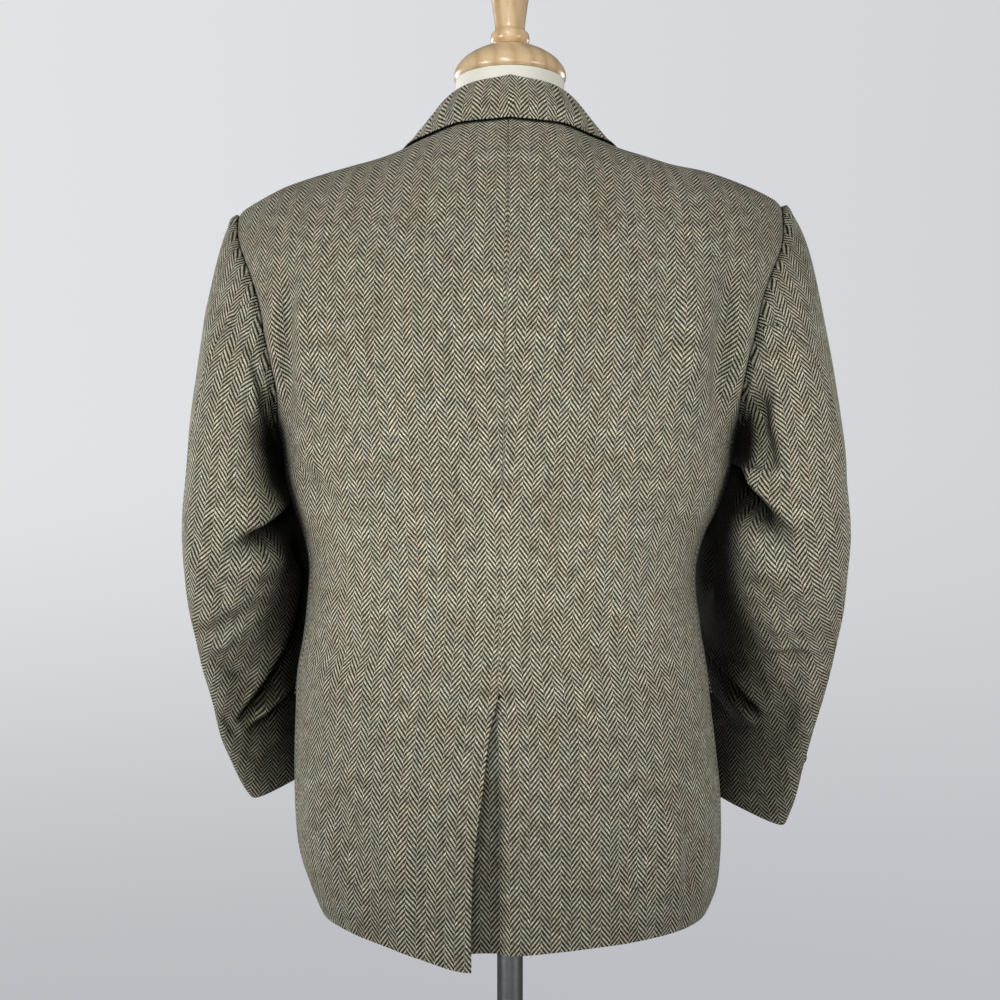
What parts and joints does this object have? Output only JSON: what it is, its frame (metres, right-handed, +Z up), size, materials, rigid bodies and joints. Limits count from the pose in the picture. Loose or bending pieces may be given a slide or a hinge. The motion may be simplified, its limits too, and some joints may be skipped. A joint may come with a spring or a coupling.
{
  "type": "hacking jacket on a dress form with a round stand",
  "caption": "Single-breasted tweed hacking jacket with one long centre vent and slanted hip flaps, worn by a limbless dress form on a round stand.",
  "frame": {"origin": "centre of the stand base's flat underside", "axes": "+Z up, the jacket's front faces -Y, the wearer's left is +X"},
  "size_m": [0.6453, 0.3798, 1.779],
  "materials": {
    "tweed": "herringbone wool tweed",
    "horn": "dark horn, satin",
    "jersey": "stretched ivory jersey",
    "beech": "clear varnish",
    "steel": "brushed"
  },
  "bodies": {
    "root": {"back_left": "tweed", "back_right": "tweed", "side_left": "tweed", "side_right": "tweed", "front_left": "tweed", "front_right": "tweed", "lapel_left": "tweed", "lapel_right": "tweed", "collar": "tweed", "top_sleeve_left": "tweed", "under_sleeve_left": "tweed", "top_sleeve_right": "tweed", "under_sleeve_right": "tweed", "pocket_flap_left": "tweed", "pocket_flap_right": "tweed", "front_button_1": "horn", "front_button_2": "horn", "front_button_3": "horn", "cuff_button_left_1": "horn", "cuff_button_left_2": "horn", "cuff_button_left_3": "horn", "cuff_button_right_1": "horn", "cuff_button_right_2": "horn", "cuff_button_right_3": "horn", "form_torso": "jersey", "neck_cap": "beech", "finial": "beech", "stand_pole": "steel", "stand_base": "steel"}
  },
  "joints": []
}
